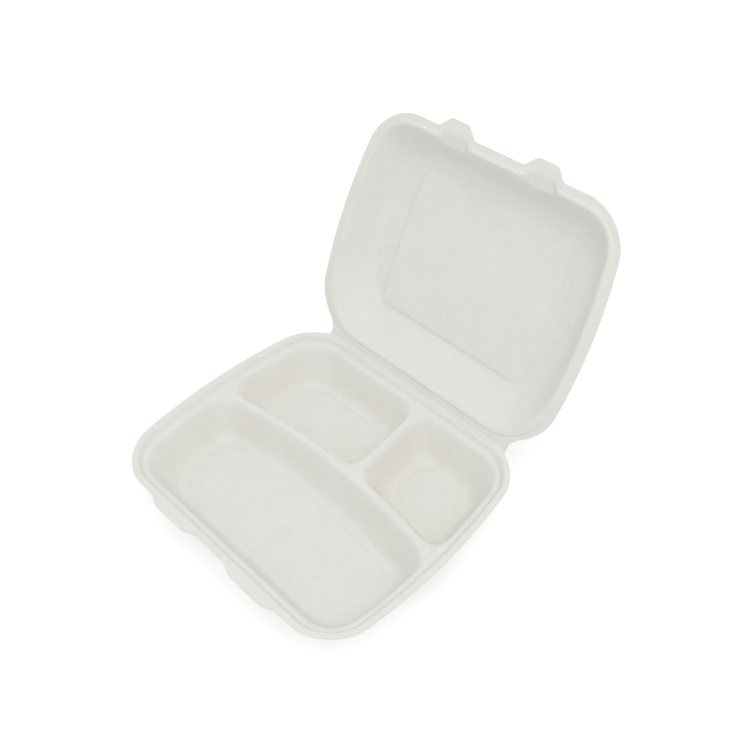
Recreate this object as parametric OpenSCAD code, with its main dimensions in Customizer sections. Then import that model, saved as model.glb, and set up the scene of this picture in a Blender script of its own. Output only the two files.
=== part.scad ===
// Hinged food container moulded from sugarcane pulp (bagasse).
// A shallow tray with three compartments and a lid, one sheet of even thickness,
// joined along a pressed crease at the back. Modelled open, as it stands on a table.
//
// Frame: X along the hinge, +Y from the front edge to the hinge, +Z up.
// The origin is on the table, midway between the tray's front and the back of the lid.
//
// Both halves are made the way the mould makes them: a height is given for every
// point of the plan, and the sheet is laid along it with the same thickness
// everywhere. Rings of points run round the rim and walls, and a patch of points
// fills the middle.

/* [Outline] */
// overall width, across the bulge of the left and right sides
body_w = 240; // [225:1:250]
// overall depth of the tray, front edge to the back of the rim
body_d = 195; // [182:1:205]
// radius of the outline's corners
corner_r = 32; // [28:1:36]
// how far the left and right sides bulge past their corners
side_bulge = 11; // [4:1:14]
// thickness of the pulp sheet
sheet_t = 0.9; // [0.7:0.05:1.1]

/* [Tray] */
// depth from the rim's flat lip to the floor
tray_depth = 34; // [28:1:42]
// width of the rim's flat lip, to the middle of its edge
lip_w = 4.6; // [4.4:0.1:5.2]
// how far the inner ledge lies below the lip
ledge_drop = 5.5; // [4.5:0.1:6.5]
// distance from the outline to the top of the inner walls
ledge_in = 11; // [10:0.5:12.5]
// slope of the inner walls, from upright
wall_angle = 22; // [18:1:25]
// height over which the walls sweep into the floor
foot_blend = 9; // [6:1:12]
// how far each floor stands up inside the channel round its edge
pad_rise = 0.8; // [0.4:0.1:1.6]
// width of that channel
channel_w = 6; // [5:0.5:7]

/* [Dividers] */
// how far the dividers' crests lie below the lip
crest_drop = 7.2; // [6:0.2:9]
// width of a divider's crest
crest_w = 6; // [5:0.5:7]
// where the ends of the long divider lie, ahead of (-) or behind the middle
long_y = 0; // [-8:1:4]
// how far the long divider curves back in its middle
long_curve = 10.2; // [4:0.2:14]
// where the short divider meets the back wall
short_x = 15.5; // [8:0.5:22]
// how far the short divider leans sideways towards the long one
short_lean = 5; // [0:0.5:6]
// roundness of the compartments where walls and dividers meet
pocket_blend = 16; // [10:1:20]

/* [Lid] */
// depth from the lid's lip to its ceiling
lid_depth = 25; // [20:1:30]
// angle the lid stands open from lying flat behind the tray
lid_angle = 62.8; // [40:0.2:90]
// height of the ridge round the lid's rim
ridge_h = 1.2; // [0.8:0.1:1.5]
// distance from the outline to the ridge
ridge_in = 5.1; // [5:0.1:5.4]
// distance from the outline to the top of the lid's walls
lid_wall_in = 8.2; // [7.8:0.2:9]
// slope of the lid's front and side walls, from upright
lid_wall_angle = 28; // [24:1:32]
// slope of the lid's wall along the hinge, from upright
lid_back_angle = 39; // [34:1:44]
// height over which the lid's walls sweep into the ceiling
lid_blend = 9; // [7:1:14]
// width of the raised panel in the ceiling, across the bulge of its sides
panel_w = 151; // [140:1:158]
// depth of the raised panel
panel_d = 120; // [105:1:122]
// how far the panel stands down into the lid
panel_rise = 1.6; // [0.8:0.2:2.4]

/* [Tabs] */
// distance of each tab's middle from the centre line
tab_x = 39.6; // [36:0.2:42]
// width of a tray tab where it leaves the rim
tray_tab_w = 49; // [44:1:52]
// width of a tray tab at its outer edge
tray_tab_top = 31; // [26:1:36]
// how far a tray tab stands out
tray_tab_out = 3.8; // [2:0.2:5]
// width of a lid tab where it leaves the rim
lid_tab_w = 34; // [32:1:38]
// width of a lid tab at its outer edge
lid_tab_top = 17; // [14:1:20]
// how far a lid tab stands out
lid_tab_out = 9; // [6:0.5:11]
// how far the lid's front edge laps over the tray's when shut
front_lap = 0.9; // [0:0.1:1.5]
// slope of the pocket behind a lid tab, fall per millimetre
pocket_fall = 0.42; // [0.3:0.02:0.5]
// width of that pocket at the lid's edge
pocket_w = 18; // [14:1:20]

/* [Hinge] */
// distance of the crease inside the tray's back outline
crease_in = 1.2; // [0.8:0.2:2.4]
// length of the crease
crease_w = 184; // [172:1:185]
// gap between the two halves along the crease
fold_gap = 0.3; // [0.2:0.05:0.4]
// gap between the two lips when the lid is shut
shut_gap = 0.3; // [0.2:0.05:0.5]
// how far the lid's outline is cut back beside the crease
nip = 3.6; // [2:0.1:3.8]
// distance from the crease to the edge that the lid's rim is laid out from
lid_start = 1.6; // [0.4:0.2:3]
// radius of the lid's outline beside the crease
nip_r = 40; // [38:1:44]

/* [Hidden] */

pulp_colour = [0.91, 0.90, 0.87];

// Half sizes of the outline at its corners, before the sides bulge.
half_w = body_w / 2 - side_bulge;
half_d = body_d / 2;

// Heights: the floor's underside is on the table.
lip_z = tray_depth + sheet_t;
axis_z = lip_z + shut_gap / 2;
axis_y = half_d - crease_in;

// Slopes, as rise over run.
lip_slope = 2.1;
lip_round = 1.6;
wall_slope = 1 / tan(wall_angle);
lid_slope = 1 / tan(lid_wall_angle);
crest_round = 3.6;
ledge_corner = 1.17 * (corner_r - ledge_in);

// Where the wall would meet the floor if nothing were rounded, from the wall's top.
foot_s = (tray_depth - ledge_drop) / wall_slope;
// From the middle of a divider to where its side starts down at ledge height.
crest_half = crest_w / 2 - (crest_drop - ledge_drop) / wall_slope;
back_wall_y = half_d - ledge_in;

// Polynomial blends of two heights or distances: k is the reach of the blend.
function blend_min(a, b, k) = min(a, b) - pow(max(k - abs(a - b), 0), 2) / (4 * k);
function blend_max(a, b, k) = -blend_min(-a, -b, k);
function ramp(t) = let (u = min(max(t, 0), 1)) u * u * (3 - 2 * u);
function clip(t) = min(max(t, 0), 1);

// The sides bulge: each x is stretched most at the middle of the depth.
function stretch(v) = 1 + side_bulge / half_w * max(1 - pow(v / half_d, 2), 0);

// Distance inward from a rounded rectangle with radius r0 at its low-v corners and
// r1 at its high-v corners.
function inward(x, v, hw, v0, v1, r0, r1) =
    let (mid = (v0 + v1) / 2,
         r = v < mid ? r0 : r1,
         qx = abs(x) - hw + r,
         qv = abs(v - mid) - (v1 - v0) / 2 + r)
    r - norm([max(qx, 0), max(qv, 0)]) - min(max(qx, qv), 0);

// The tray's surface, in heights measured from the lip.

function long_divider_y(x) = long_y + long_curve * max(1 - pow(x / (half_w - 5), 2), 0);
function short_divider_x(y) =
    let (t = (back_wall_y - y) / (back_wall_y - long_curve))
    short_x + short_lean * (t < 1 ? max(t, 0) : clip(1 - (t - 1) * 0.9));

// Distance from the top of the nearest wall or divider, negative on a crest.
function pocket_s(x, y) =
    let (x0 = x / stretch(y),
         side = half_w - ledge_in - abs(x0),
         front = y + back_wall_y,
         back = back_wall_y - y,
         ends = blend_min(front, back, 1),
         wall = blend_min(side, ends, ledge_corner),
         off = y - long_divider_y(x),
         long = abs(off) - crest_half,
         short = abs(x - short_divider_x(y)) - crest_half,
         two = blend_min(wall, long, pocket_blend))
    off > 0 ? blend_min(two, short, pocket_blend) : two;

// Lip, step and ledge, then the level of the crests further in.
function rim_height(w) =
    let (step = -lip_slope * (w - lip_w),
         lip = blend_min(0, step, lip_round),
         ledge = blend_max(lip, -ledge_drop, lip_round))
    ledge - (crest_drop - ledge_drop) * ramp((w - ledge_in - 0.5) / 4);

// Walls, their sweep into the floor, and the floor's raised pad.
function pocket_height(s) =
    blend_max(-ledge_drop - wall_slope * s, -tray_depth, foot_blend)
    + pad_rise * ramp((s - foot_s - channel_w) / 2.5);

function tray_height(x, y) =
    let (w = inward(x / stretch(y), y, half_w, -half_d, half_d, corner_r, corner_r))
    blend_min(rim_height(w), pocket_height(pocket_s(x, y)), crest_round);

// The lid's surface: u runs from the crease across the lid, heights are towards its inside.

lid_far = 2 * half_d - crease_in;
lid_mid = lid_far - half_d;

function lid_in(x, u) =
    inward(x / stretch(u - lid_mid), u, half_w, lid_start, lid_far, nip_r, corner_r);

function lid_s(x, u) =
    let (x0 = x / stretch(u - lid_mid),
         side = half_w - lid_wall_in - abs(x0),
         front = lid_far - lid_wall_in - u,
         back = (u - lid_start - lid_wall_in) * tan(lid_wall_angle) / tan(lid_back_angle),
         three = blend_min(side, front, 1.17 * (corner_r - lid_wall_in)))
    blend_min(three, back, 1.17 * (nip_r - lid_wall_in));

panel_hw = panel_w / 2 / stretch(0);
panel_mid = lid_mid + 0.3;
panel_r = 7;
panel_edge = 3.6;
function panel_s(x, u) =
    inward(x / stretch(u - lid_mid), u, panel_hw, panel_mid - panel_d / 2,
           panel_mid + panel_d / 2, panel_r, panel_r);

// Flat lip, then the ridge that drops inside the tray's lip when shut.
function lid_rim_height(w) = ridge_h * ramp((w - ridge_in + 0.6) / 1.2);

function lid_bowl_height(x, u) =
    blend_max(ridge_h - lid_slope * lid_s(x, u), -lid_depth, lid_blend)
    + panel_rise * ramp(panel_s(x, u) / panel_edge);

// The pocket behind a tab breaks through the ridge and runs down until it meets the wall.
pocket_run = 12;
function tab_pocket(x, w) =
    let (run = min(max(w, 0), pocket_run),
         half = pocket_w / 2 + 0.35 * run)
    -pocket_fall * run + 1.1 * max(abs(abs(x) - tab_x) - half, 0);

function lid_height(x, u) =
    let (w = lid_in(x, u),
         plain = blend_min(lid_rim_height(w), lid_bowl_height(x, u), 1.6),
         cut = u > lid_mid ? tab_pocket(x, w) : 99)
    blend_min(plain, cut, 0.6);

// Angles of the points round half a corner, from its middle to the straight side.
half_corner = [45, 30, 15, 0];
arc_n = len(half_corner) - 1;

// One straight side of a ring with the halves of its two corners, running from low to
// high between a and b. Each point is [along, inward], from radii ra and rb, and the
// marks between the corners are kept in order.
function ring_side(marks, a, b, ra, rb) =
    let (n = len(marks))
    concat(
        [for (t = half_corner) [a - ra * sin(t), ra * (1 - cos(t))]],
        [for (i = [0:n - 1]) [min(max(marks[i], a + 1.2 * (i + 1)), b - 1.2 * (n - i)), 0]],
        [for (i = [arc_n:-1:0]) let (t = half_corner[i]) [b + rb * sin(t), rb * (1 - cos(t))]]);

// One ring: half width hw, low and high edges v0 and v1, corner radii r0 and r1, and
// the marks of its low, high and upright sides. It runs low, right, high, left.
function ring_base(hw, v0, v1, r0, r1, marks_low, marks_high, marks_v) =
    let (low = ring_side(marks_low, r0 - hw, hw - r0, r0, r0),
         high = ring_side(marks_high, r1 - hw, hw - r1, r1, r1),
         upright = ring_side(marks_v, v0 + r0, v1 - r1, r0, r1),
         nx = len(high) - 1,
         nv = len(upright) - 1)
    concat(
        [for (i = [0:nx - 1]) [low[i][0], v0 + low[i][1]]],
        [for (i = [0:nv - 1]) [hw - upright[i][1], upright[i][0]]],
        [for (i = [nx:-1:1]) [high[i][0], v1 - high[i][1]]],
        [for (i = [nv:-1:1]) [upright[i][1] - hw, upright[i][0]]]);

function bulged(pts, mid) = [for (p = pts) [p[0] * stretch(p[1] - mid), p[1]]];

// Fills a ring of 2 * (nx + nv) points with a patch of (nx - 1) * (nv - 1) points.
function patch(ring, nx, nv) =
    let (n = len(ring),
         low = [for (i = [0:nx]) ring[i]],
         right = [for (j = [0:nv]) ring[nx + j]],
         high = [for (i = [0:nx]) ring[(2 * nx + nv - i) % n]],
         left = [for (j = [0:nv]) ring[(n - j) % n]],
         s = [for (p = low) (p[0] - low[0][0]) / (low[nx][0] - low[0][0])],
         t = [for (p = left) (p[1] - left[0][1]) / (left[nv][1] - left[0][1])])
    [for (j = [1:nv - 1], i = [1:nx - 1])
        (1 - t[j]) * low[i] + t[j] * high[i] + (1 - s[i]) * left[j] + s[i] * right[j]
        - (1 - s[i]) * (1 - t[j]) * low[0] - s[i] * (1 - t[j]) * low[nx]
        - (1 - s[i]) * t[j] * high[0] - s[i] * t[j] * high[nx]];

// Index of patch point (i, j), where the patch's edge is the last ring.
function patch_index(i, j, nx, nv, n, rings) =
    let (last = (rings - 1) * n)
    j == 0 ? last + i
    : i == nx ? last + nx + j
    : j == nv ? last + 2 * nx + nv - i
    : i == 0 ? last + (n - j) % n
    : rings * n + (j - 1) * (nx - 1) + i - 1;

// Faces of one skin: bands between rings, then the patch.
function skin_faces(nx, nv, rings) =
    let (n = 2 * (nx + nv))
    concat(
        [for (r = [0:rings - 2], k = [0:n - 1])
            let (a = r * n + k, b = r * n + (k + 1) % n)
            each [[a, b, b + n], [a, b + n, a + n]]],
        [for (j = [0:nv - 1], i = [0:nx - 1])
            let (a = patch_index(i, j, nx, nv, n, rings),
                 b = patch_index(i + 1, j, nx, nv, n, rings),
                 c = patch_index(i + 1, j + 1, nx, nv, n, rings),
                 d = patch_index(i, j + 1, nx, nv, n, rings))
            each (2 * i < nx) == (2 * j < nv)
                ? [[a, b, c], [a, c, d]] : [[a, b, d], [b, c, d]]]);

// The sheet: its upper skin, and the same points moved down through the thickness.
module sheet(upper, lower, nx, nv, rings) {
    n = 2 * (nx + nv);
    m = len(upper);
    skin = skin_faces(nx, nv, rings);
    polyhedron(
        points = concat(upper, lower),
        faces = concat(
            [for (f = skin) [f[2], f[1], f[0]]],
            [for (f = skin) [f[0] + m, f[1] + m, f[2] + m]],
            [for (k = [0:n - 1])
                let (b = (k + 1) % n)
                each [[k, b, b + m], [k, b + m, k + m]]]));
}

// Distances from a divider's middle at which points run along it.
across = [2, 4.2, 10.2, foot_s + 2, foot_s + 6, foot_s + 10];
reach = across[5];
tray_x = concat([-45, -25], [for (i = [5:-1:0]) short_x - across[i]],
                [for (a = across) short_x + a], [short_x + reach + 13]);
tray_v = concat([long_y - reach - 14], [for (i = [5:-1:0]) long_y - across[i]],
                [for (a = across) long_y + a], [long_y + reach + 14]);
tray_tabs_x = [for (side = [-1, 1], e = [-1, 1]) each
    e < 0 ? [side * tab_x - tray_tab_w / 2, side * tab_x - tray_tab_top / 2]
          : [side * tab_x + tray_tab_top / 2, side * tab_x + tray_tab_w / 2]];
tray_front_x = concat([-70], [for (i = [0:1]) tray_tabs_x[i]], [-tab_x],
                      [for (i = [2:3]) tray_tabs_x[i]], [-6, 0, 6],
                      [for (i = [4:5]) tray_tabs_x[i]], [tab_x],
                      [for (i = [6:7]) tray_tabs_x[i]], [70]);
tray_nx = len(tray_x) + 1 + 2 * arc_n;
tray_nv = len(tray_v) + 1 + 2 * arc_n;

// Rings, as [distance in, the same at the hinge side, corner radius].
tray_rings = [
    [0, crease_in + fold_gap / 2, corner_r],
    [lip_w - 1.1, lip_w - 1.1, corner_r - lip_w + 1.1],
    [lip_w - 0.1, lip_w - 0.1, corner_r - lip_w + 0.1],
    [lip_w + 0.7, lip_w + 0.7, corner_r - lip_w - 0.7],
    [lip_w + 1.9, lip_w + 1.9, corner_r - lip_w - 1.9],
    [lip_w + 2.9, lip_w + 2.9, corner_r - lip_w - 2.9],
    [ledge_in - 1.6, ledge_in - 1.6, corner_r - ledge_in + 1.6],
    [ledge_in - 0.4, ledge_in - 0.4, corner_r - ledge_in + 0.4],
    [ledge_in + 0.6, ledge_in + 0.6, corner_r - ledge_in],
    [ledge_in + 1.8, ledge_in + 1.8, corner_r - ledge_in],
    [ledge_in + foot_s * 0.65, ledge_in + foot_s * 0.65, corner_r - ledge_in],
    [ledge_in + foot_s - 0.8, ledge_in + foot_s - 0.8, corner_r - ledge_in],
    [ledge_in + foot_s + 1.4, ledge_in + foot_s + 1.4, corner_r - ledge_in],
    [ledge_in + foot_s + 4, ledge_in + foot_s + 4, corner_r - ledge_in],
    [ledge_in + foot_s + channel_w, ledge_in + foot_s + channel_w, corner_r - ledge_in],
    [ledge_in + foot_s + channel_w + 2.5, ledge_in + foot_s + channel_w + 2.5,
     corner_r - ledge_in - 2]];

function tray_ring(i) =
    let (q = tray_rings[i],
         base = ring_base(half_w - q[0], q[0] - half_d, half_d - q[0], q[2], q[2],
                          i == 0 ? tray_front_x : tray_x, tray_x, tray_v))
    bulged([for (p = base) [p[0], min(p[1], half_d - q[1])]], 0);

// The front edge of the rim steps out at the two tabs; the back edge is cut at the crease
// and reaches the crease's ends.
function tray_edge(p) =
    let (from_tab = abs(abs(p[0]) - tab_x),
         out = clip((tray_tab_w / 2 - from_tab) * 2 / (tray_tab_w - tray_tab_top)))
    p[1] < 2 - half_d ? [p[0], p[1] - tray_tab_out * out]
    : p[1] > half_d - crease_in - fold_gap && abs(p[0]) > half_w - corner_r + 1
        ? [sign(p[0]) * crease_w / 2, p[1]] : p;

// Inside the walls, points are moved so that they follow the two dividers.
function follow(p) =
    let (long_reach = clip((half_d - 30 - abs(p[1])) / (half_d - 30 - foot_s - 10)),
         short_reach = clip((half_w - 30 - abs(p[0] - short_x)) / (half_w - 64)),
         y = p[1] + (long_divider_y(p[0]) - long_y) * long_reach)
    [p[0] + (short_divider_x(y) - short_x) * short_reach, y];

tray_plan = let (
        rings = [for (i = [0:len(tray_rings) - 1])
            i == 0 ? [for (p = tray_ring(0)) tray_edge(p)] : tray_ring(i)],
        inner = patch(tray_ring(len(tray_rings) - 1), tray_nx, tray_nv))
    concat([for (i = [0:len(rings) - 1]) each
                i > 7 ? [for (p = rings[i]) follow(p)] : rings[i]],
           [for (p = inner) follow(p)]);

// Both skins. Along the outer edge the sheet is cut square.
probe = 0.3;
function thickness_step(h0, hx, hy, square) =
    square ? [0, 0, -sheet_t]
    : let (g = [(hx - h0) / probe, (hy - h0) / probe, -1]) sheet_t * g / norm(g);

tray_upper = [for (p = tray_plan) [p[0], p[1], lip_z + tray_height(p[0], p[1])]];
tray_lower = [for (i = [0:len(tray_plan) - 1])
    let (p = tray_plan[i], h = tray_height(p[0], p[1]))
    tray_upper[i] + thickness_step(h, tray_height(p[0] + probe, p[1]),
        tray_height(p[0], p[1] + probe), i < 2 * (tray_nx + tray_nv))];

lid_tab_marks = [lid_tab_w / 2, (lid_tab_w + lid_tab_top) / 4, lid_tab_top / 2];
lid_x = concat(
    [for (m = lid_tab_marks) -tab_x - m], [for (i = [2:-1:0]) lid_tab_marks[i] - tab_x], [0],
    [for (m = lid_tab_marks) tab_x - m], [for (i = [2:-1:0]) tab_x + lid_tab_marks[i]]);
lid_v = [66, 81, 104, 127, 142];
lid_nx = len(lid_x) + 1 + 2 * arc_n;
lid_nv = len(lid_v) + 1 + 2 * arc_n;

function panel_ring(s, r) = [
    half_w - panel_hw + s, panel_mid - panel_d / 2 - lid_start + s, r, r,
    lid_far - panel_mid - panel_d / 2 + s];

// Rings, as [distance in, the same at the hinge side, front radius, back radius, and the
// same at the front if it differs]. The last three follow the panel's edge.
lid_rings = [
    [0, 0, corner_r, nip_r, -front_lap],
    [ridge_in - 0.8, ridge_in - 0.8, corner_r - ridge_in + 0.8, nip_r - ridge_in + 0.8],
    [ridge_in, ridge_in, corner_r - ridge_in, nip_r - ridge_in],
    [ridge_in + 0.7, ridge_in + 0.7, corner_r - ridge_in - 0.7, nip_r - ridge_in - 0.7],
    [lid_wall_in - 0.6, lid_wall_in - 0.6, corner_r - lid_wall_in + 0.6, nip_r - lid_wall_in],
    [lid_wall_in + 0.3, lid_wall_in + 0.4, corner_r - lid_wall_in, nip_r - lid_wall_in],
    [lid_wall_in + 1.6, lid_wall_in + 2.1, corner_r - lid_wall_in, nip_r - lid_wall_in],
    [lid_wall_in + 7, lid_wall_in + 10, corner_r - lid_wall_in, nip_r - lid_wall_in],
    [lid_wall_in + 11, lid_wall_in + 16.6, corner_r - lid_wall_in, nip_r - lid_wall_in],
    [lid_wall_in + 16, lid_wall_in + 22, corner_r - lid_wall_in - 5, nip_r - lid_wall_in - 9],
    panel_ring(0.2, panel_r),
    panel_ring(1.8, panel_r - 1),
    panel_ring(3.6, panel_r - 2)];

// The lid's outer edge, before the sides bulge: two long tabs at the front, the strip
// that runs to the crease at the back, and the corners cut back beside it.
function lid_edge(p) =
    let (from_tab = abs(abs(p[0]) - tab_x),
         out = clip((lid_tab_w / 2 - from_tab) * 2 / (lid_tab_w - lid_tab_top)),
         centre = [sign(p[0]) * (half_w - nip_r), lid_start + nip_r],
         turn = atan2(abs(p[0] - centre[0]), centre[1] - p[1]),
         cut = nip * ramp((90 - turn) / 60))
    p[1] > lid_far - 2 ? [p[0], p[1] + lid_tab_out * out]
    : abs(p[0]) < half_w - nip_r + 1 ? [p[0], fold_gap / 2]
    : turn < 20 ? [sign(p[0]) * crease_w / 2, fold_gap / 2]
    : turn < 35 ? [sign(p[0]) * crease_w / 2, lid_start + 0.26 * nip_r]
    : p[1] < centre[1] ? p + (centre - p) * cut / nip_r : p;

function lid_ring(i) =
    let (q = lid_rings[i],
         base = ring_base(half_w - q[0], lid_start + q[1],
                          lid_far - (len(q) > 4 ? q[4] : q[0]), q[3], q[2],
                          lid_x, lid_x, lid_v))
    bulged(i == 0 ? [for (p = base) lid_edge(p)] : base, lid_mid);

lid_plan = concat(
    [for (i = [0:len(lid_rings) - 1]) each lid_ring(i)],
    patch(lid_ring(len(lid_rings) - 1), lid_nx, lid_nv));

lid_upper = [for (p = lid_plan) [p[0], p[1], lid_height(p[0], p[1]) - shut_gap / 2]];
lid_lower = [for (i = [0:len(lid_plan) - 1])
    let (p = lid_plan[i], h = lid_height(p[0], p[1]))
    lid_upper[i] + thickness_step(h, lid_height(p[0] + probe, p[1]),
        lid_height(p[0], p[1] + probe), i < 2 * (lid_nx + lid_nv))];

// The tray and lid above are laid out from the middle of the tray. The finished
// container is moved so that its whole depth, lid included, is centred on the origin.
lid_back = axis_y + max([for (p = concat(lid_upper, lid_lower))
    p[1] * cos(lid_angle) - p[2] * sin(lid_angle)]);
shift_y = (half_d + tray_tab_out - lid_back) / 2;

// Three compartments, two dividers and a stepped rim, standing on the table.
module tray() {
    color(pulp_colour)
        translate([0, shift_y, 0])
            sheet(tray_upper, tray_lower, tray_nx, tray_nv, len(tray_rings));
}

// The lid with its two latch tabs, turned up about the crease.
module lid() {
    color(pulp_colour)
        translate([0, axis_y + shift_y, axis_z])
            rotate([lid_angle, 0, 0])
                sheet(lid_upper, lid_lower, lid_nx, lid_nv, len(lid_rings));
}

tray();
lid();
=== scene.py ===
"""Looks of a hinged food container moulded from sugarcane pulp, standing open on a pale floor.

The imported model's two solids are replaced by finely meshed shells of the same form, with the
softer corners, pressed crease and slight unevenness of moulded pulp, and a procedural pulp
material. Sizes are in millimetres until a mesh is made, and everything Blender gets is in metres.
"""
import math

import bpy
import numpy as np
from mathutils import Matrix, Vector


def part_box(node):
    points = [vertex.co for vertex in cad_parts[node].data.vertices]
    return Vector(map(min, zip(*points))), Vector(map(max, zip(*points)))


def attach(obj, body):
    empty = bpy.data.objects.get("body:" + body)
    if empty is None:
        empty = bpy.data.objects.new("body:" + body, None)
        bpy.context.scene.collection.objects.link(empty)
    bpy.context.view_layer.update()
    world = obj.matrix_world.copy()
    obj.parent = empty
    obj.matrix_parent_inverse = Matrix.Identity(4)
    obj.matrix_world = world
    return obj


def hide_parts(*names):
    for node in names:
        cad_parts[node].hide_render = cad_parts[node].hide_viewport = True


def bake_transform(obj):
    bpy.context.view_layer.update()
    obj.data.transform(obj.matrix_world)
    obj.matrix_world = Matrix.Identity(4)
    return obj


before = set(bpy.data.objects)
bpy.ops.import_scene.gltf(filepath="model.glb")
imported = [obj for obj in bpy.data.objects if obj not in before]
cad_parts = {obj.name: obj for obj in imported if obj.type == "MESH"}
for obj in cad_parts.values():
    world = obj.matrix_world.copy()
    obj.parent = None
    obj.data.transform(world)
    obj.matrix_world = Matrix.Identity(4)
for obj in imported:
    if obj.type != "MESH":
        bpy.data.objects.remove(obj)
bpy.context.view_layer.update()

# Sizes, the same as the solids'. The outline and the sheet:
BODY_W = 240.0
BODY_D = 195.0
CORNER_R = 32.0
SIDE_BULGE = 11.0
SHEET_T = 0.9
# The tray's rim, walls and floors:
TRAY_DEPTH = 34.0
LIP_W = 4.6
LEDGE_DROP = 5.5
LEDGE_IN = 11.0
WALL_ANGLE = 22.0
FOOT_BLEND = 9.0
PAD_RISE = 0.8
CHANNEL_W = 6.0
# The dividers:
CREST_DROP = 7.2
CREST_W = 6.0
LONG_CURVE = 10.2
SHORT_X = 15.5
SHORT_LEAN = 5.0
POCKET_BLEND = 16.0
# The lid:
LID_DEPTH = 25.0
LID_ANGLE = 62.8
RIDGE_H = 1.2
RIDGE_IN = 5.1
LID_WALL_IN = 8.2
LID_WALL_ANGLE = 28.0
LID_BACK_ANGLE = 39.0
LID_BLEND = 9.0
PANEL_W = 151.0
PANEL_D = 120.0
PANEL_RISE = 1.6
PANEL_R = 7.0
PANEL_EDGE = 3.6
# The tabs and the pockets behind the lid's:
TAB_X = 39.6
TRAY_TAB_W = 49.0
TRAY_TAB_TOP = 31.0
TRAY_TAB_OUT = 3.8
LID_TAB_W = 34.0
LID_TAB_TOP = 17.0
LID_TAB_OUT = 9.0
POCKET_FALL = 0.42
POCKET_W = 18.0
POCKET_RUN = 12.0
# The crease and the lid's corners beside it:
CREASE_IN = 1.2
CREASE_W = 184.0
SHUT_GAP = 0.3
NIP = 1.0
NIP_R = 40.0
LID_START = 1.6
FRONT_LAP = 0.9

# What follows from them:
HALF_W = BODY_W / 2 - SIDE_BULGE
HALF_D = BODY_D / 2
LIP_Z = TRAY_DEPTH + SHEET_T
AXIS_Y = HALF_D - CREASE_IN
AXIS_Z = LIP_Z + SHUT_GAP / 2
LIP_SLOPE = 2.1
# Reach of a blend that rounds a corner of the walls like an arc of radius 1.
CORNER_REACH = 1.17
WALL_SLOPE = 1 / math.tan(math.radians(WALL_ANGLE))
LID_SLOPE = 1 / math.tan(math.radians(LID_WALL_ANGLE))
LEDGE_CORNER = CORNER_REACH * (CORNER_R - LEDGE_IN)
FOOT_S = (TRAY_DEPTH - LEDGE_DROP) / WALL_SLOPE
CREST_HALF = CREST_W / 2 - (CREST_DROP - LEDGE_DROP) / WALL_SLOPE
BACK_WALL_Y = HALF_D - LEDGE_IN
LID_FAR = 2 * HALF_D - CREASE_IN
LID_MID = LID_FAR - HALF_D
PANEL_MID = LID_MID + 0.3

# Roundings of the shell where the solids are plainer.
LIP_ROUND = 2.2
CREST_ROUND = 3.6
RIDGE_ROUND = 1.8

# The strip on each side of the crease that bends, and the sheet's thickness in its middle.
CREASE_STRIP = 1.3
CREASE_T = 0.55

# Rounding of the cut edge, and how uneven the tray and the lid are.
EDGE_ROUND = 0.16
TRAY_UNEVEN = 0.07
LID_UNEVEN = 0.08

# Where the middle of the tray lies in the shared frame.
SHIFT_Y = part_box("tray")[0].y * 1000 + HALF_D + TRAY_TAB_OUT


# Heights of the sheet.


def blend_min(a, b, k):
    return np.minimum(a, b) - np.maximum(k - np.abs(a - b), 0) ** 2 / (4 * k)


def blend_max(a, b, k):
    return -blend_min(-a, -b, k)


def ramp(t):
    u = np.clip(t, 0, 1)
    return u * u * (3 - 2 * u)


def stretch(v):
    return 1 + SIDE_BULGE / HALF_W * np.maximum(1 - (v / HALF_D) ** 2, 0)


def inward(x, v, half, v0, v1, r0, r1):
    """Distance inward from a rounded rectangle with its own radius at each end."""
    mid = (v0 + v1) / 2
    r = np.where(v < mid, r0, r1)
    qx = np.abs(x) - half + r
    qv = np.abs(v - mid) - (v1 - v0) / 2 + r
    return r - np.hypot(np.maximum(qx, 0), np.maximum(qv, 0)) - np.minimum(np.maximum(qx, qv), 0)


def waves(x, y, seed, lengths, count=5):
    """A smooth unevenness between about -1 and 1, the same at each run."""
    rng = np.random.default_rng(seed)
    total = np.zeros_like(x)
    for length in lengths:
        for _ in range(count):
            turn, phase = rng.uniform(0, 2 * np.pi, 2)
            step = 2 * np.pi / (length * rng.uniform(0.8, 1.25))
            total += np.sin(step * (x * math.cos(turn) + y * math.sin(turn)) + phase)
    return total / (count * len(lengths)) ** 0.5


def long_divider_y(x):
    return LONG_CURVE * np.maximum(1 - (x / (HALF_W - 5)) ** 2, 0)


def short_divider_x(y):
    t = (BACK_WALL_Y - y) / (BACK_WALL_Y - LONG_CURVE)
    return SHORT_X + SHORT_LEAN * np.where(t < 1, np.maximum(t, 0), np.clip(1 - (t - 1) * 0.9, 0, 1))


def pocket_s(x, y):
    """Distance from the top of the nearest wall or divider of a compartment."""
    side = HALF_W - LEDGE_IN - np.abs(x / stretch(y))
    ends = blend_min(y + BACK_WALL_Y, BACK_WALL_Y - y, 1)
    wall = blend_min(side, ends, LEDGE_CORNER)
    off = y - long_divider_y(x)
    two = blend_min(wall, np.abs(off) - CREST_HALF, POCKET_BLEND)
    three = blend_min(two, np.abs(x - short_divider_x(y)) - CREST_HALF, POCKET_BLEND)
    return np.where(off > 0, three, two)


def tray_height(x, y):
    w = inward(x / stretch(y), y, HALF_W, -HALF_D, HALF_D, CORNER_R, CORNER_R)
    lip = blend_min(0 * w, -LIP_SLOPE * (w - LIP_W), LIP_ROUND)
    rim = blend_max(lip, 0 * w - LEDGE_DROP, LIP_ROUND)
    rim = rim - (CREST_DROP - LEDGE_DROP) * ramp((w - LEDGE_IN - 0.5) / 4)
    s = pocket_s(x, y)
    pocket = blend_max(-LEDGE_DROP - WALL_SLOPE * s, 0 * s - TRAY_DEPTH, FOOT_BLEND)
    pocket = pocket + PAD_RISE * ramp((s - FOOT_S - CHANNEL_W) / 2.5)
    uneven = TRAY_UNEVEN * waves(x, y, 4, (26, 60)) * ramp((AXIS_Y - y) / 12)
    return blend_min(rim, pocket, CREST_ROUND) + uneven


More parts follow.
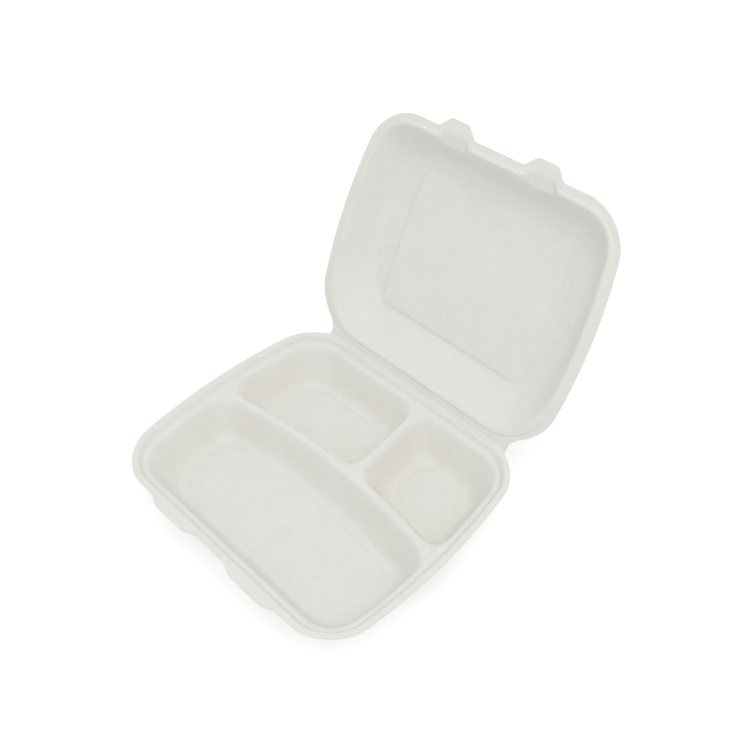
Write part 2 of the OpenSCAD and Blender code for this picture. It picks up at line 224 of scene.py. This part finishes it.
def lid_height(x, u):
    w = inward(x / stretch(u - LID_MID), u, HALF_W, LID_START, LID_FAR, NIP_R, CORNER_R)
    side = HALF_W - LID_WALL_IN - np.abs(x / stretch(u - LID_MID))
    back = (u - LID_START - LID_WALL_IN) * math.tan(math.radians(LID_WALL_ANGLE))
    back = back / math.tan(math.radians(LID_BACK_ANGLE))
    s = blend_min(side, LID_FAR - LID_WALL_IN - u, CORNER_REACH * (CORNER_R - LID_WALL_IN))
    s = blend_min(s, back, CORNER_REACH * (NIP_R - LID_WALL_IN))
    panel = inward(x / stretch(u - LID_MID), u, PANEL_W / 2 / stretch(0.0),
                   PANEL_MID - PANEL_D / 2, PANEL_MID + PANEL_D / 2, PANEL_R, PANEL_R)
    bowl = blend_max(RIDGE_H - LID_SLOPE * s, 0 * s - LID_DEPTH, LID_BLEND)
    bowl = bowl + PANEL_RISE * ramp(panel / PANEL_EDGE)
    plain = blend_min(RIDGE_H * ramp((w - RIDGE_IN + 0.6) / 1.2), bowl, RIDGE_ROUND)
    run = np.clip(w, 0, POCKET_RUN)
    beside = np.maximum(np.abs(np.abs(x) - TAB_X) - POCKET_W / 2 - 0.35 * run, 0)
    cut = np.where(u > LID_MID, -POCKET_FALL * run + 1.1 * beside, 99.0)
    uneven = LID_UNEVEN * waves(x, u, 9, (30, 75)) * ramp(u / 12)
    return blend_min(plain, cut, 0.9) + uneven


# Rings of points round each half, and the patch that fills the last one.

STRAIGHT_X = 106
STRAIGHT_V = 88
HALF_CORNER = 15


def ring_side(count, a, b, ra, rb):
    """One side of a ring with half of each of its two corners, as points [along, inward]."""
    low = np.radians(np.linspace(45, 0, HALF_CORNER + 1))
    high = low[::-1]
    between = np.linspace(a, b, count + 1)[1:-1]
    return np.concatenate([
        np.stack([a - ra * np.sin(low), ra * (1 - np.cos(low))], 1),
        np.stack([between, 0 * between], 1),
        np.stack([b + rb * np.sin(high), rb * (1 - np.cos(high))], 1)])


def ring(half, v0, v1, r0, r1):
    """A closed ring of points that runs low, right, high, left."""
    low = ring_side(STRAIGHT_X, r0 - half, half - r0, r0, r0)
    high = ring_side(STRAIGHT_X, r1 - half, half - r1, r1, r1)
    upright = ring_side(STRAIGHT_V, v0 + r0, v1 - r1, r0, r1)
    return np.concatenate([
        np.stack([low[:-1, 0], v0 + low[:-1, 1]], 1),
        np.stack([half - upright[:-1, 1], upright[:-1, 0]], 1),
        np.stack([high[:0:-1, 0], v1 - high[:0:-1, 1]], 1),
        np.stack([upright[:0:-1, 1] - half, upright[:0:-1, 0]], 1)])


NX = STRAIGHT_X + 2 * HALF_CORNER
NV = STRAIGHT_V + 2 * HALF_CORNER
AROUND = 2 * (NX + NV)


def patch(last):
    """Points that fill the last ring, in rows from low to high."""
    low = last[:NX + 1]
    right = last[NX:NX + NV + 1]
    high = last[NX + NV:2 * NX + NV + 1][::-1]
    left = np.concatenate([last[2 * NX + NV:], last[:1]])[::-1]
    s = ((low[:, 0] - low[0, 0]) / (low[-1, 0] - low[0, 0]))[None, 1:-1, None]
    t = ((left[:, 1] - left[0, 1]) / (left[-1, 1] - left[0, 1]))[1:-1, None, None]
    return ((1 - t) * low[None, 1:-1] + t * high[None, 1:-1]
            + (1 - s) * left[1:-1, None] + s * right[1:-1, None]
            - (1 - s) * (1 - t) * low[0] - s * (1 - t) * low[-1]
            - (1 - s) * t * high[0] - s * t * high[-1]).reshape(-1, 2)


def skin_faces(rings):
    """Faces between the rings, and those of the patch inside them."""
    k = np.arange(AROUND)
    after = (k + 1) % AROUND
    bands = [np.stack([r * AROUND + k, r * AROUND + after,
                       (r + 1) * AROUND + after, (r + 1) * AROUND + k], 1) for r in range(rings - 1)]
    edge = (rings - 1) * AROUND
    grid = np.zeros((NV + 1, NX + 1), int)
    grid[0] = edge + np.arange(NX + 1)
    grid[:, NX] = edge + NX + np.arange(NV + 1)
    grid[NV] = edge + 2 * NX + NV - np.arange(NX + 1)
    grid[1:, 0] = edge + AROUND - np.arange(1, NV + 1)
    grid[1:-1, 1:-1] = rings * AROUND + np.arange((NV - 1) * (NX - 1)).reshape(NV - 1, NX - 1)
    cells = np.stack([grid[:-1, :-1], grid[:-1, 1:], grid[1:, 1:], grid[1:, :-1]], 2).reshape(-1, 4)
    return np.concatenate(bands + [cells])


def shell(plan, height, rings, place):
    """A sheet of even thickness laid along a height. Returns points, faces, and skin per face."""
    probe = 0.02
    x = plan[:, 0]
    y = plan[:, 1]
    h = height(x, y)
    dx = (height(x + probe, y) - height(x - probe, y)) / (2 * probe)
    dy = (height(x, y + probe) - height(x, y - probe)) / (2 * probe)
    normal = np.stack([-dx, -dy, np.ones_like(dx)], 1)
    normal /= np.linalg.norm(normal, axis=1)[:, None]
    upper = np.stack([x, y, h], 1)
    lower = upper - SHEET_T * normal
    lower[:AROUND] = upper[:AROUND] - [0, 0, SHEET_T]
    # The cut edge is a little rounded, by rings that lie just inside both faces.
    inside = plan[AROUND:2 * AROUND] - plan[:AROUND]
    inside /= np.maximum(np.linalg.norm(inside, axis=1), 1e-6)[:, None]
    pull = np.concatenate([EDGE_ROUND * inside, np.zeros((AROUND, 1))], 1)
    rim_top = upper[:AROUND] - [0, 0, EDGE_ROUND]
    rim_low = lower[:AROUND] + [0, 0, EDGE_ROUND]
    upper[:AROUND] += pull
    lower[:AROUND] += pull
    faces = skin_faces(rings)
    n = len(upper)
    k = np.arange(AROUND)
    after = (k + 1) % AROUND
    top_edge = 2 * n
    low_edge = top_edge + AROUND

    def band(first, second):
        return np.stack([first + k, second + k, second + after, first + after], 1)

    parts = [faces, faces[:, ::-1] + n, band(0, top_edge), band(top_edge, low_edge), band(low_edge, n)]
    side = np.concatenate([np.full(len(p), i) for p, i in zip(parts, (0, 1, 0, 0, 1))])
    points = place(np.concatenate([upper, lower, rim_top, rim_low]))
    return points, np.concatenate(parts), side


def make_piece(name, points, faces, side, materials):
    """A smooth-shaded object from points in millimetres and four-sided faces."""
    mesh = bpy.data.meshes.new(name)
    mesh.vertices.add(len(points))
    mesh.vertices.foreach_set("co", (points / 1000).astype(np.float32).ravel())
    mesh.loops.add(faces.size)
    mesh.loops.foreach_set("vertex_index", faces.astype(np.int32).ravel())
    mesh.polygons.add(len(faces))
    mesh.polygons.foreach_set("loop_start", np.arange(0, faces.size, 4, dtype=np.int32))
    mesh.polygons.foreach_set("material_index", side.astype(np.int32))
    mesh.polygons.foreach_set("use_smooth", np.ones(len(faces), bool))
    mesh.update(calc_edges=True)
    for material in materials:
        mesh.materials.append(material)
    obj = bpy.data.objects.new(name, mesh)
    bpy.context.scene.collection.objects.link(obj)
    return obj


def spread(rings, offsets, last):
    """Lays the rings next to the outline evenly between it and the ring number last."""
    for i in range(1, last):
        share = offsets[i] / offsets[last]
        rings[i] = (1 - share) * rings[0] + share * rings[last]


def soft_step(distance, run):
    """0 outside, rising over run to 1, with rounded ends."""
    t = distance / run
    return blend_max(blend_min(t, 1 + 0 * t, 0.22), 0 * t, 0.22)


# The tray's rings, by their distance in from the outline.

TRAY_EDGE_W = [0, 0.5, 1.2, 2.0, 2.8]
tray_w = np.concatenate([
    TRAY_EDGE_W, np.arange(3.3, 8.5, 0.32), np.arange(8.9, 14.5, 0.5),
    np.arange(15.2, 23, 1.1), np.arange(23.2, 31, 0.75)])


# Turn round the tray's back corner at which its outline leaves the fillet at the crease.
END_TURN = 34.0


def with_crease_ends(base):
    """Fills the hollow between each back corner and the end of the crease."""
    end = np.array([CREASE_W / 2 / stretch(AXIS_Y), AXIS_Y - CREASE_STRIP])
    centre = np.array([HALF_W - CORNER_R, HALF_D - CORNER_R])
    turn = np.degrees(np.arctan2(np.abs(base[:, 0]) - centre[0], base[:, 1] - centre[1]))
    leave = np.radians(END_TURN)
    corner = centre + CORNER_R * np.array([np.sin(leave), np.cos(leave)])
    knots = np.array([0, 17, 20, 24, 29, END_TURN])
    path = np.array([end - [14, 0], end - [1, 0], end - [0.1, 0.15], end + [0.3, -0.7],
                     end + [1.3, -1.5], corner])
    x = np.interp(turn, knots, path[:, 0]) * np.sign(base[:, 0])
    y = np.interp(turn, knots, path[:, 1])
    there = (turn > 0) & (turn < END_TURN) & (base[:, 1] > 0)
    return np.where(there[:, None], np.stack([x, y], 1), base)


def tray_ring(w):
    r = CORNER_R - min(w, LEDGE_IN)
    base = ring(HALF_W - w, w - HALF_D, HALF_D - w, r, r)
    if w == 0:
        front = base[:, 1] < 2 - HALF_D
        from_tab = np.abs(np.abs(base[:, 0]) - TAB_X)
        out = soft_step(TRAY_TAB_W / 2 - from_tab, (TRAY_TAB_W - TRAY_TAB_TOP) / 2)
        base[:, 1] -= np.where(front, TRAY_TAB_OUT * out, 0)
        base = with_crease_ends(base)
    base[:, 1] = np.minimum(base[:, 1], AXIS_Y - CREASE_STRIP + 0.02 - min(w, 2.8) * 0.22)
    return np.stack([base[:, 0] * stretch(base[:, 1]), base[:, 1]], 1)


def place_tray(points):
    return points + [0, SHIFT_Y, LIP_Z]


# The lid's rings.

LID_EDGE_W = [0, 0.5, 1.3, 2.2, 3.0, 3.6, 4.1]
lid_w = np.concatenate([
    LID_EDGE_W, np.arange(4.5, 7.9, 0.34), np.arange(8.2, 13.5, 0.5),
    np.arange(14.2, 30, 1.0)])


# Turn round the lid's back corner at which its outline leaves the neck.
NECK_TURN = 42.0


def lid_outline():
    """The lid's outer edge from the crease round a corner, as points and the turn at each."""
    turn = np.linspace(0, 90, 2 * HALF_CORNER + 1)
    centre = np.array([HALF_W - NIP_R, LID_START + NIP_R])
    r = NIP_R - NIP * ramp((90 - turn) / 60)
    arc = centre + np.stack([r * np.sin(np.radians(turn)), -r * np.cos(np.radians(turn))], 1)
    arc[:, 0] *= stretch(arc[:, 1] - LID_MID)
    foot = np.array([CREASE_W / 2, CREASE_STRIP])
    top = np.array([np.interp(NECK_TURN, turn, arc[:, 0]), np.interp(NECK_TURN, turn, arc[:, 1])])
    start = np.array([centre[0], CREASE_STRIP])
    # The neck's side, hollowed where it meets the corner and eased at the crease.
    path = np.array([start, foot - [1.0, 0], foot - [0.15, -0.35], foot + [-0.1, 1.4],
                     foot + [0, 3.1], foot + [0.5, 5.0], foot + [1.6, 6.7],
                     foot + [3.3, 8.4], top])
    knots = np.array([0, 11, 12.5, 15, 20, 25, 31, 37, NECK_TURN])
    neck = np.stack([np.interp(turn, knots, path[:, 0]), np.interp(turn, knots, path[:, 1])], 1)
    return np.where((turn < NECK_TURN)[:, None], neck, arc)


def lid_ring(w):
    back_r = NIP_R - min(w, LID_WALL_IN) - max(w - 20, 0) * 0.8
    front_r = CORNER_R - min(w, LID_WALL_IN) - max(w - 20, 0) * 0.5
    back = w + max(w - LID_WALL_IN, 0) * 0.42
    lap = FRONT_LAP * (1 - min(w, 2) / 2)
    base = ring(HALF_W - w, LID_START + back, LID_FAR + lap - w, back_r, front_r)
    if w == 0:
        from_tab = np.abs(np.abs(base[:, 0]) - TAB_X)
        out = soft_step(LID_TAB_W / 2 - from_tab, (LID_TAB_W - LID_TAB_TOP) / 2)
        base[:, 1] += np.where(base[:, 1] > LID_FAR - 2, LID_TAB_OUT * out, 0)
    base = np.stack([base[:, 0] * stretch(base[:, 1] - LID_MID), base[:, 1]], 1)
    if w == 0:
        edge = lid_outline()
        straight = slice(HALF_CORNER, HALF_CORNER + STRAIGHT_X + 1)
        base[straight, 1] = CREASE_STRIP
        base[straight, 0] = np.linspace(NIP_R - HALF_W, HALF_W - NIP_R, STRAIGHT_X + 1)
        right = HALF_CORNER + STRAIGHT_X + np.arange(2 * HALF_CORNER + 1)
        base[right] = edge
        left = (HALF_CORNER - np.arange(2 * HALF_CORNER + 1)) % AROUND
        base[left] = edge * [-1, 1]
    return base


def place_lid(points):
    turn = math.radians(LID_ANGLE)
    y = points[:, 1]
    z = points[:, 2] - SHUT_GAP / 2
    return np.stack([points[:, 0], SHIFT_Y + AXIS_Y + y * math.cos(turn) - z * math.sin(turn),
                     AXIS_Z + y * math.sin(turn) + z * math.cos(turn)], 1)


def crease_strip():
    """The pressed strip that bends: a curved band between the tray's edge and the lid's."""
    along = 220
    across = 10
    turn = math.radians(LID_ANGLE)
    t = np.linspace(0, 1, across + 1)
    tangent = np.array([[1.0, 0.0], [math.cos(turn), math.sin(turn)]])
    up = np.array([[0.0, 1.0], [-math.sin(turn), math.cos(turn)]])
    start = np.array([-CREASE_STRIP, -SHUT_GAP / 2])
    end = CREASE_STRIP * tangent[1] - SHUT_GAP / 2 * up[1]
    reach = 1.4 * CREASE_STRIP
    h = np.stack([2 * t**3 - 3 * t**2 + 1, t**3 - 2 * t**2 + t, 3 * t**2 - 2 * t**3, t**3 - t**2], 1)
    top = h @ np.stack([start, reach * tangent[0], end, reach * tangent[1]])
    angle = turn * ramp(t)
    out = np.stack([np.sin(angle), -np.cos(angle)], 1)
    thick = SHEET_T - (SHEET_T - CREASE_T) * np.sin(np.pi * t) ** 2
    dip = 0.12 * np.sin(np.pi * t)[:, None] ** 2 * out
    top = top + dip
    low = top + out * thick[:, None]
    loop = np.concatenate([top, low[::-1]])
    x = np.linspace(-CREASE_W / 2, CREASE_W / 2, along + 1)
    points = np.stack([np.repeat(x, len(loop)), np.tile(loop[:, 0], along + 1),
                       np.tile(loop[:, 1], along + 1)], 1)
    n = len(loop)
    k = np.arange(n)
    after = (k + 1) % n
    rows = np.arange(along)[:, None] * n
    faces = np.stack([rows + after, rows + k, rows + n + k, rows + n + after], 2).reshape(-1, 4)
    ends = []
    for base, order in ((0, 1), (along * n, -1)):
        for i in range(across):
            quad = [base + i, base + i + 1, base + n - 2 - i, base + n - 1 - i]
            ends.append(quad[::order])
    faces = np.concatenate([faces, np.array(ends)])
    side = np.zeros(len(faces))
    return points + [0, SHIFT_Y + AXIS_Y, AXIS_Z], faces, side


def node(tree, kind, **values):
    made = tree.nodes.new(kind)
    for key, value in values.items():
        if key in made.inputs:
            made.inputs[key].default_value = value
        else:
            setattr(made, key, value)
    return made


def pulp(name, screen):
    """Moulded pulp: warm white, matt, finely fibrous. The outer face also has the mould's screen."""
    made = bpy.data.materials.new(name)
    made.use_nodes = True
    tree = made.node_tree
    link = tree.links.new
    shader = tree.nodes["Principled BSDF"]
    shader.inputs["Roughness"].default_value = 0.82
    shader.inputs["Specular IOR Level"].default_value = 0.28
    place = node(tree, "ShaderNodeTexCoord").outputs["Object"]

    blotch = node(tree, "ShaderNodeTexNoise", Scale=55.0, Detail=4.0, Roughness=0.6)
    grain = node(tree, "ShaderNodeTexNoise", Scale=720.0, Detail=3.0, Roughness=0.65)
    link(place, blotch.inputs["Vector"])
    link(place, grain.inputs["Vector"])

    def fibres(turn, threshold):
        """Short thin strands that lie one way."""
        lay = node(tree, "ShaderNodeMapping")
        lay.inputs["Rotation"].default_value = turn
        lay.inputs["Scale"].default_value = (95.0, 900.0, 900.0)
        link(place, lay.inputs["Vector"])
        strand = node(tree, "ShaderNodeTexNoise", Scale=1.0, Detail=1.0, Distortion=0.6)
        link(lay.outputs["Vector"], strand.inputs["Vector"])
        pick = node(tree, "ShaderNodeMapRange")
        pick.inputs["From Min"].default_value = threshold
        pick.inputs["From Max"].default_value = threshold + 0.12
        link(strand.outputs["Fac"], pick.inputs["Value"])
        return pick.outputs["Result"]

    def add(a, b, how="ADD", clamp=False):
        mixed = node(tree, "ShaderNodeMath", operation=how, use_clamp=clamp)
        for slot, value in zip(mixed.inputs, (a, b)):
            if isinstance(value, (int, float)):
                slot.default_value = value
            else:
                link(value, slot)
        return mixed.outputs[0]

    strands = add(fibres((0.3, 0.2, 0.5), 0.60), fibres((0.1, 0.4, -0.9), 0.61), "MAXIMUM")
    strands = add(strands, fibres((0.5, -0.3, 1.7), 0.60), "MAXIMUM")

    tone = node(tree, "ShaderNodeValToRGB")
    tone.color_ramp.elements[0].position = 0.32
    tone.color_ramp.elements[0].color = (0.800, 0.791, 0.757, 1)
    tone.color_ramp.elements[1].position = 0.70
    tone.color_ramp.elements[1].color = (0.836, 0.829, 0.801, 1)
    link(add(add(blotch.outputs["Fac"], 0.6, "MULTIPLY"), add(grain.outputs["Fac"], 0.4, "MULTIPLY")),
         tone.inputs["Fac"])
    tinted = node(tree, "ShaderNodeMix", data_type="RGBA")
    link(add(strands, 0.10, "MULTIPLY"), tinted.inputs["Factor"])
    link(tone.outputs["Color"], tinted.inputs[6])
    tinted.inputs[7].default_value = (0.60, 0.55, 0.45, 1)
    link(tinted.outputs[2], shader.inputs["Base Color"])

    relief = add(add(grain.outputs["Fac"], 0.55, "MULTIPLY"), add(strands, 0.35, "MULTIPLY"))
    relief = add(relief, add(blotch.outputs["Fac"], 0.35, "MULTIPLY"))
    if screen:
        weave = node(tree, "ShaderNodeTexVoronoi", Scale=760.0, Randomness=0.35)
        link(place, weave.inputs["Vector"])
        relief = add(relief, add(weave.outputs["Distance"], 0.9, "MULTIPLY"))
    bump = node(tree, "ShaderNodeBump", Strength=0.55, Distance=0.00022)
    link(relief, bump.inputs["Height"])
    link(bump.outputs["Normal"], shader.inputs["Normal"])
    return made


inner_pulp = pulp("pulp", False)
outer_pulp = pulp("pulp_outer", True)

# The three pieces.

rings = [tray_ring(w) for w in tray_w]
spread(rings, tray_w, len(TRAY_EDGE_W))
plan = np.concatenate(rings + [patch(rings[-1])])
tray_shell = make_piece("tray_shell", *shell(plan, tray_height, len(rings), place_tray),
                        [inner_pulp, outer_pulp])
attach(tray_shell, "tray")
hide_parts("tray")

rings = [lid_ring(w) for w in lid_w]
spread(rings, lid_w, len(LID_EDGE_W))
plan = np.concatenate(rings + [patch(rings[-1])])
lid_shell = make_piece("lid_shell", *shell(plan, lid_height, len(rings), place_lid),
                       [inner_pulp, outer_pulp])
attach(lid_shell, "lid")
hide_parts("lid")

crease = make_piece("crease", *crease_strip(), [inner_pulp])
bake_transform(crease)

# The view solved from the photograph's own lines, in millimetres from the middle of the
# tray at the height of its lip, with the lens's axis away from the picture's centre.
CAM_AZ = 0.7059
CAM_EL = 0.6907
CAM_ROLL = 0.0308
CAM_DIST = 792.45
CAM_AIM = Vector((-76.153, 212.117, 0.0))
CAM_F = 882.20
CAM_PX = 63.02
CAM_PY = -98.95
FRAME_PX = 750.0
SENSOR_MM = 36.0

back = Vector((math.sin(CAM_AZ) * math.cos(CAM_EL), -math.cos(CAM_AZ) * math.cos(CAM_EL),
               math.sin(CAM_EL)))
right = (-back).cross(Vector((0, 0, 1))).normalized()
up = right.cross(-back)
roll_right = math.cos(CAM_ROLL) * right + math.sin(CAM_ROLL) * up
roll_up = math.cos(CAM_ROLL) * up - math.sin(CAM_ROLL) * right
spot = (CAM_AIM + CAM_DIST * back + Vector((0, SHIFT_Y, LIP_Z))) / 1000
lens = bpy.data.cameras.new("camera")
lens.sensor_width = SENSOR_MM
lens.lens = CAM_F / FRAME_PX * SENSOR_MM
lens.shift_x = -CAM_PX / FRAME_PX
lens.shift_y = CAM_PY / FRAME_PX
lens.clip_start = 0.01
camera = bpy.data.objects.new("camera", lens)
turned = Matrix((roll_right, roll_up, back)).transposed().to_4x4()
camera.matrix_world = Matrix.Translation(spot) @ turned
bpy.context.scene.collection.objects.link(camera)
bpy.context.scene.camera = camera


def seen_directly(tree):
    """1 for rays from the camera and for those mirrored or passed on, 0 for the rest."""
    path = tree.nodes.new("ShaderNodeLightPath")
    result = path.outputs["Is Camera Ray"]
    for other in ("Is Glossy Ray", "Is Transmission Ray"):
        both = node(tree, "ShaderNodeMath", operation="MAXIMUM")
        tree.links.new(result, both.inputs[0])
        tree.links.new(path.outputs[other], both.inputs[1])
        result = both.outputs[0]
    return result


# The floor, in metres, and the light that only the camera sees on it.
FLOOR_HALF = 8
FLOOR_DROP = 0.0002
FLOOR_LIFT = 0.34
ground = bpy.data.materials.new("floor")
ground.use_nodes = True
tree = ground.node_tree
shader = tree.nodes["Principled BSDF"]
shader.inputs["Base Color"].default_value = (0.86, 0.86, 0.86, 1)
shader.inputs["Roughness"].default_value = 0.9
shader.inputs["Specular IOR Level"].default_value = 0.1
shader.inputs["Emission Color"].default_value = (1, 1, 1, 1)
lift = node(tree, "ShaderNodeMath", operation="MULTIPLY")
tree.links.new(seen_directly(tree), lift.inputs[0])
lift.inputs[1].default_value = FLOOR_LIFT
tree.links.new(lift.outputs[0], shader.inputs["Emission Strength"])

floor_mesh = bpy.data.meshes.new("floor")
corners = [(x * FLOOR_HALF, y * FLOOR_HALF, 0) for x, y in ((-1, -1), (1, -1), (1, 1), (-1, 1))]
floor_mesh.from_pydata(corners, [], [(0, 1, 2, 3)])
floor_mesh.materials.append(ground)
floor = bpy.data.objects.new("floor", floor_mesh)
floor.location.z = -FLOOR_DROP
bpy.context.scene.collection.objects.link(floor)

world = bpy.data.worlds.new("studio")
bpy.context.scene.world = world
world.use_nodes = True
tree = world.node_tree
sky = tree.nodes["Background"]
sky.inputs["Color"].default_value = (1.0, 0.995, 0.985, 1)
level = node(tree, "ShaderNodeMapRange")
level.inputs["To Min"].default_value = 0.80
level.inputs["To Max"].default_value = 1.0
tree.links.new(seen_directly(tree), level.inputs["Value"])
tree.links.new(level.outputs["Result"], sky.inputs["Strength"])


def lamp(name, place, aim, size, watts):
    """A square area lamp that looks at a point. Places and sizes are in metres."""
    light = bpy.data.lights.new(name, "AREA")
    light.shape = "SQUARE"
    light.size = size
    light.energy = watts
    obj = bpy.data.objects.new(name, light)
    obj.location = place
    obj.rotation_euler = (Vector(aim) - Vector(place)).to_track_quat("-Z", "Y").to_euler()
    bpy.context.scene.collection.objects.link(obj)


lamp("key", (0.5, -0.22, 1.38), (0, 0, 0.08), 1.1, 4.3)

bpy.context.scene.view_settings.view_transform = "Standard"
